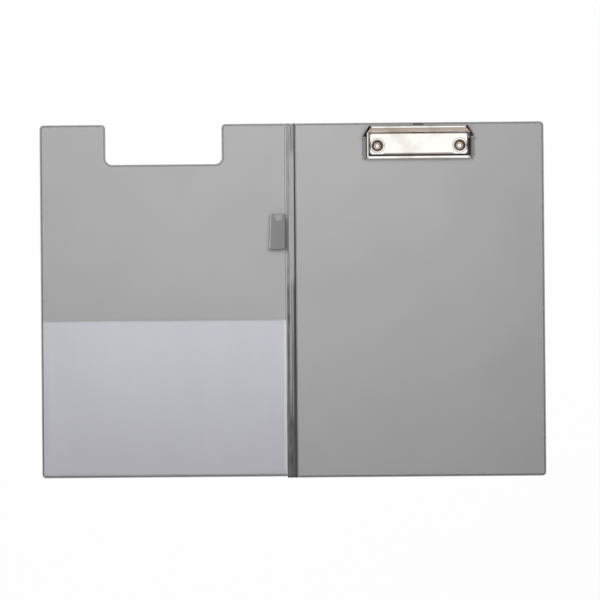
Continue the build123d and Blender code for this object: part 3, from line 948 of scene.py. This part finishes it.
def make_frame():
    shape = bmesh.new()
    rings = []
    for station in frame_stations():
        rings.append([shape.verts.new(point) for point in frame_ring(*station)])
    join_rings(shape, rings + rings[:1], closed=False)
    bmesh.ops.remove_doubles(shape, verts=shape.verts, dist=0.002 * mm)
    piece = shape_object("clip_frame", shape, sheet=True)
    give_wall(piece, strip)
    wear_edges(piece, 0.16, 55)
    return finished(piece)


nickel_colour = (0.80, 0.765, 0.735)
clip_frame = make_frame()
# Painted shade darkens the frame's low walls, below the two levels given.
assign(clip_frame, steel_finish("bright_nickel", nickel_colour, 0.10, 0.40, (3.0 * mm, 4.6 * mm)))
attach(clip_frame, "bail")
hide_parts("clip_bail")


# Clip plate.
# The fixed middle of the clip, pressed from 0.8 mm steel: rounded rim, a drawn cup for each rivet
# and two ears that carry the rod. The same bright nickel, with painted shade low in the wells of
# the cups.
coil_near = 20.95
plate_half = 44.9
plate_rear = 10.35
plate_front = 29.5
plate_level = 7.0
plate_corner = 2.5
plate_strip = 0.8
rim_drop = 1.1
leg_slot_half = 0.85
tab_slot_half = 6.2
cup_places = [(-37.5, 21.4), (37.5, 21.4)]
cup_sides = 72
# Radius and level of the cup's wall, from its rolled mouth to its floor.
cup_profile = [(7.05, 7.0), (6.86, 7.0), (6.72, 6.93), (6.60, 6.84), (6.30, 6.81), (5.7, 6.76)]
cup_profile += [(5.15, 6.66), (4.92, 6.52), (4.78, 6.30), (4.72, 6.0), (4.66, 4.4), (4.60, 2.4)]
cup_profile += [(4.5, 1.1), (4.3, 0.82), (3.8, 0.8), (2.5, 0.8)]


def plate_edge_points():
    """Plan of the plate's edge with the way outwards at each point."""
    corners = []
    for side_across, side_depth, start in ((1, 1, 0), (-1, 1, 1), (-1, -1, 2), (1, -1, 3)):
        middle_across = side_across * (plate_half - plate_corner)
        depth_edge = plate_front - plate_corner if side_depth > 0 else plate_rear + plate_corner
        corners.append((middle_across, depth_edge, start * math.pi / 2))
    run = []
    for index, (across, depth, start) in enumerate(corners):
        for step in range(11):
            turn = start + math.pi / 2 * step / 10
            outward = (math.cos(turn), math.sin(turn))
            point = (across + plate_corner * outward[0], depth + plate_corner * outward[1])
            run.append((point, outward))
        across, depth, start = corners[(index + 1) % 4]
        last = run[-1][0]
        first = (across + plate_corner * math.cos(start), depth + plate_corner * math.sin(start))
        count = max(int(math.hypot(first[0] - last[0], first[1] - last[1]) / 0.5), 2)
        for step in range(1, count):
            share = step / count
            point = (last[0] + (first[0] - last[0]) * share, last[1] + (first[1] - last[1]) * share)
            run.append((point, outward))
    return run


def plate_foot(across, depth):
    """Height of the plate's lower edge: rim, ears for the rod, and the rear wall with its slots."""
    side = abs(across)
    if depth > plate_rear + plate_corner:
        return 5.5 + (0.9 - 5.5) * ramp(18.4 - depth, 0.0, 0.5)
    if side < tab_slot_half:
        return 1.15
    if abs(side - coil_near) < leg_slot_half:
        return 5.3
    return 0.05


def rim_loops():
    """Rings round the plate, over its rounded rim and down its walls."""
    edge_points = plate_edge_points()
    loops = []
    for step in range(-1, 10):
        turn = math.pi / 2 * max(step, 0) / 9
        loop = []
        for (across, depth), (out_across, out_depth) in edge_points:
            off_cup = min(abs(across - cup_place[0]) for cup_place in cup_places)
            beside_cup = ramp(off_cup, 4.2, 7.5)
            front_width = (1.1 * beside_cup - 0.85 * (1 - beside_cup)) * max(out_depth, 0.0) ** 2
            width = 1.2 - 0.5 * max(-out_depth, 0.0) + front_width
            inset = width * (1 - math.sin(turn)) + (0.2 if step < 0 else 0.0)
            level = plate_level - rim_drop * (1 - math.cos(turn))
            loop.append(in_clip(across - out_across * inset, depth - out_depth * inset, level))
        loops.append(loop)
    for step in range(1, 5):
        loop = []
        for (across, depth), outward in edge_points:
            foot = min(plate_foot(across, depth), plate_level - rim_drop - 0.1)
            level = plate_level - rim_drop + (foot - plate_level + rim_drop) * step / 4
            loop.append(in_clip(across, depth, level))
        loops.append(loop)
    return loops


def cup_loops(middle_across, middle_depth):
    """Rings down a cup, from its mouth to the hole for the rivet."""
    loops = []
    for radius, level in cup_profile:
        loop = []
        for index in range(cup_sides):
            turn = 2 * math.pi * index / cup_sides
            across = middle_across + radius * math.cos(turn)
            loop.append(in_clip(across, middle_depth + radius * math.sin(turn), level))
        loops.append(loop)
    return loops


def make_plate():
    shape = bmesh.new()
    flat_edges = []
    for chain in [rim_loops()] + [cup_loops(*place) for place in cup_places]:
        made = [[shape.verts.new(point) for point in loop] for loop in chain]
        join_rings(shape, made)
        mouth = made[0]
        for index in range(len(mouth)):
            after = (index + 1) % len(mouth)
            flat_edges.append(shape.edges.get((mouth[index], mouth[after])))
    bmesh.ops.triangle_fill(shape, use_beauty=True, edges=flat_edges)
    piece = shape_object("pressed_plate", shape, sheet=True)
    give_wall(piece, plate_strip)
    return finished(piece)


clip_plate = make_plate()
# Painted shade darkens the cups' wells, below the two levels given.
assign(clip_plate, steel_finish("plate_nickel", nickel_colour, 0.09, 1.0, (5.6 * mm, 8.0 * mm)))
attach(clip_plate, "board")
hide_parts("clip_plate")


# Rivets.
# Two hollow steel rivets come up through the board from flat backs and are rolled over in the
# cups; a turned half profile is swung round and set twice, one in each cup.
class Recipe:
    """A Geometry Nodes tree with named inputs; parts are added by kind and linked by name."""

    def __init__(self, name):
        self.tree = bpy.data.node_groups.new(name, "GeometryNodeTree")
        for in_out in ("INPUT", "OUTPUT"):
            self.tree.interface.new_socket(
                "Geometry", in_out=in_out, socket_type="NodeSocketGeometry"
            )
        self.start = self.tree.nodes.new("NodeGroupInput")
        self.keys = {}

    def ask(self, name, kind, value=None):
        """Adds a named input and returns its socket."""
        kind = "NodeSocket" + kind
        item = self.tree.interface.new_socket(name, in_out="INPUT", socket_type=kind)
        if value is not None:
            item.default_value = value
        self.keys[name] = item.identifier
        return self.start.outputs[name]

    def add(self, kind, inputs):
        node = self.tree.nodes.new(kind)
        for key, value in inputs.items():
            if isinstance(value, bpy.types.NodeSocket):
                self.tree.links.new(value, node.inputs[key])
            else:
                node.inputs[key].default_value = value
        return node.outputs[0]

    def close(self, geometry):
        end = self.tree.nodes.new("NodeGroupOutput")
        self.tree.links.new(geometry, end.inputs[0])

    def make(self, name, host, values):
        """Runs the recipe on a host and returns its result as a plain mesh object."""
        modifier = host.modifiers.new("recipe", "NODES")
        modifier.node_group = self.tree
        for key, value in values.items():
            modifier[self.keys[key]] = value
        view = bpy.context.evaluated_depsgraph_get()
        mesh = bpy.data.meshes.new_from_object(host.evaluated_get(view))
        mesh.name = name
        bpy.data.objects.remove(host)
        return add_object(name, mesh)


def line_object(name, points):
    """Open line through points."""
    curve = bpy.data.curves.new(name, "CURVE")
    curve.dimensions = "3D"
    spline = curve.splines.new("POLY")
    spline.points.add(len(points) - 1)
    for place, point in zip(spline.points, points):
        place.co = (*point, 1.0)
    return add_object(name, curve)


swing_radius = 10.0
rivet_sides = 48
turned = Recipe("turned_pair")
swing = turned.ask("Swing radius", "Float", swing_radius * mm)
sides = turned.ask("Sides", "Int", rivet_sides)
first_place = turned.ask("First place", "Vector")
second_place = turned.ask("Second place", "Vector")
coat = turned.ask("Finish", "Material")
circle = turned.add("GeometryNodeCurvePrimitiveCircle", {"Radius": swing, "Resolution": sides})
profile = turned.start.outputs[0]
solid = turned.add("GeometryNodeCurveToMesh", {"Curve": circle, "Profile Curve": profile})
solid = turned.add("GeometryNodeMergeByDistance", {"Geometry": solid, "Distance": 0.002 * mm})
solid = turned.add("GeometryNodeSetShadeSmooth", {"Geometry": solid})
line = turned.add("GeometryNodeCurvePrimitiveLine", {"Start": first_place, "End": second_place})
places = turned.add("GeometryNodeCurveToPoints", {"Curve": line, "Count": 2})
pair = turned.add("GeometryNodeInstanceOnPoints", {"Points": places, "Instance": solid})
pair = turned.add("GeometryNodeRealizeInstances", {"Geometry": pair})
turned.close(turned.add("GeometryNodeSetMaterial", {"Geometry": pair, "Material": coat}))

# Radius and level over the board, from the middle of the back round the rolled head.
back = -board_face / mm + 0.05
rivet_profile = [(0.0, back), (4.25, back), (4.42, back + 0.07), (4.5, back + 0.25)]
rivet_profile += [(4.5, back + 0.66), (4.46, back + 0.7), (2.5, back + 0.7)]
rivet_profile += [(2.5, 0.78), (3.28, 0.80), (3.40, 0.90), (3.40, 1.06)]
for step in range(9):
    turn = math.pi * step / 8
    rivet_profile.append((2.72 + 0.68 * math.cos(turn), 1.10 + 0.60 * math.sin(turn)))
rivet_profile += [(2.02, 0.95), (1.98, 0.45), (1.86, 0.34), (1.5, 0.3), (0.0, 0.4)]
half_profile = [((radius - swing_radius) * mm, -level * mm, 0.0) for radius, level in rivet_profile]
rivet_values = {
    "Swing radius": swing_radius * mm,
    "Sides": rivet_sides,
    "First place": in_clip(*cup_places[0], 0),
    "Second place": in_clip(*cup_places[1], 0),
    "Finish": steel_finish("rivet_steel", (0.86, 0.79, 0.75), 0.20, 0.2),
}
rivets = turned.make("rolled_rivets", line_object("rivet_profile", half_profile), rivet_values)
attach(rivets, "board")
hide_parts("clip_rivets")


# Rod and springs.
# A plain steel rod goes through the ears and the arms and is headed at both ends; on it sit two
# springs of 0.9 mm hard wire, one leg under the plate and the other under the lip.
def rounded_copy(node, name, edge_width):
    """Merged copy of a solid with soft shading between its sharp edges, and those edges worn."""
    sharp = 38
    mesh = nodes[node].data.copy()
    mesh.name = name
    mesh.materials.clear()
    shape = bmesh.new()
    shape.from_mesh(mesh)
    bmesh.ops.remove_doubles(shape, verts=shape.verts, dist=0.001 * mm)
    flat = math.radians(0.6)
    bmesh.ops.dissolve_limit(shape, angle_limit=flat, verts=shape.verts, edges=shape.edges)
    for face in shape.faces:
        face.smooth = True
    for edge in shape.edges:
        edge.smooth = edge.is_manifold and edge.calc_face_angle(0) < math.radians(sharp)
    shape.to_mesh(mesh)
    shape.free()
    piece = add_object(name, mesh)
    wear_edges(piece, edge_width, sharp)
    evened = piece.modifiers.new("even_shading", "WEIGHTED_NORMAL")
    evened.keep_sharp = True
    return finished(piece)


drawn_steel = steel_finish("drawn_steel", (0.55, 0.54, 0.52), 0.28, 0.1)
rod = rounded_copy("pivot_rod", "headed_rod", 0.08)
assign(rod, drawn_steel)
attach(rod, "board")
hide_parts("pivot_rod")

rod_depth = 14.0
rod_level = 3.2
coil_radius = 1.75
coil_pitch = 1.5
coil_turns = 3
wire_radius = 0.45
wire_sides = 14
# Reach of each leg from the rod, and its rise over it.
front_leg = (6.0, 5.65 - rod_level)
rear_leg = (4.5, 4.0 - rod_level)


def leg_angle(reach, rise):
    return math.atan2(rise, reach) + math.asin(coil_radius / math.hypot(reach, rise))


def wire_points(side):
    """Along the wire from the leg under the plate, round the rod, to the leg under the lip."""
    front_angle = leg_angle(*front_leg)
    turn = 2 * math.pi * coil_turns + front_angle + leg_angle(*rear_leg)
    span = coil_turns * coil_pitch
    front_end = (side * (coil_near + span), rod_depth + front_leg[0], rod_level + front_leg[1])
    points = [in_clip(*front_end)]
    steps = 24 * coil_turns
    for step in range(steps + 1):
        share = step / steps
        angle = -front_angle + share * turn
        across = side * (coil_near + span * (1 - share))
        depth = rod_depth - math.sin(angle) * coil_radius
        points.append(in_clip(across, depth, rod_level - math.cos(angle) * coil_radius))
    points.append(in_clip(side * coil_near, rod_depth - rear_leg[0], rod_level + rear_leg[1]))
    return points


wired = Recipe("round_wire")
thickness = wired.ask("Wire radius", "Float", wire_radius * mm)
facets = wired.ask("Sides", "Int", wire_sides)
wire_coat = wired.ask("Finish", "Material")
section_inputs = {"Radius": thickness, "Resolution": facets}
section = wired.add("GeometryNodeCurvePrimitiveCircle", section_inputs)
wire_inputs = {"Curve": wired.start.outputs[0], "Profile Curve": section, "Fill Caps": True}
wire = wired.add("GeometryNodeCurveToMesh", wire_inputs)
wire = wired.add("GeometryNodeSetShadeSmooth", {"Geometry": wire})
wire = wired.add("GeometryNodeRealizeInstances", {"Geometry": wire})
wired.close(wired.add("GeometryNodeSetMaterial", {"Geometry": wire, "Material": wire_coat}))
for side, word in ((-1, "left"), (1, "right")):
    path = line_object("wire_path", wire_points(side))
    values = {"Wire radius": wire_radius * mm, "Sides": wire_sides, "Finish": drawn_steel}
    spring = wired.make(word + "_spring", path, values)
    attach(spring, "board")
    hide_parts("spring_" + word)


# Hanging tab.
# A flat steel strip slides under the plate and is pulled out to hang the folder by its slot; its
# round-cornered tip shows past the lip, coloured near-black brown as painted shade for the lip's
# shadow and the dark it mirrors.
tab = rounded_copy("hanger", "hanging_tab", 0.14)
assign(tab, steel_finish("shaded_tab_steel", (0.05, 0.032, 0.026), 0.30, 0.2))
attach(tab, "hanger")
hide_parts("hanger")
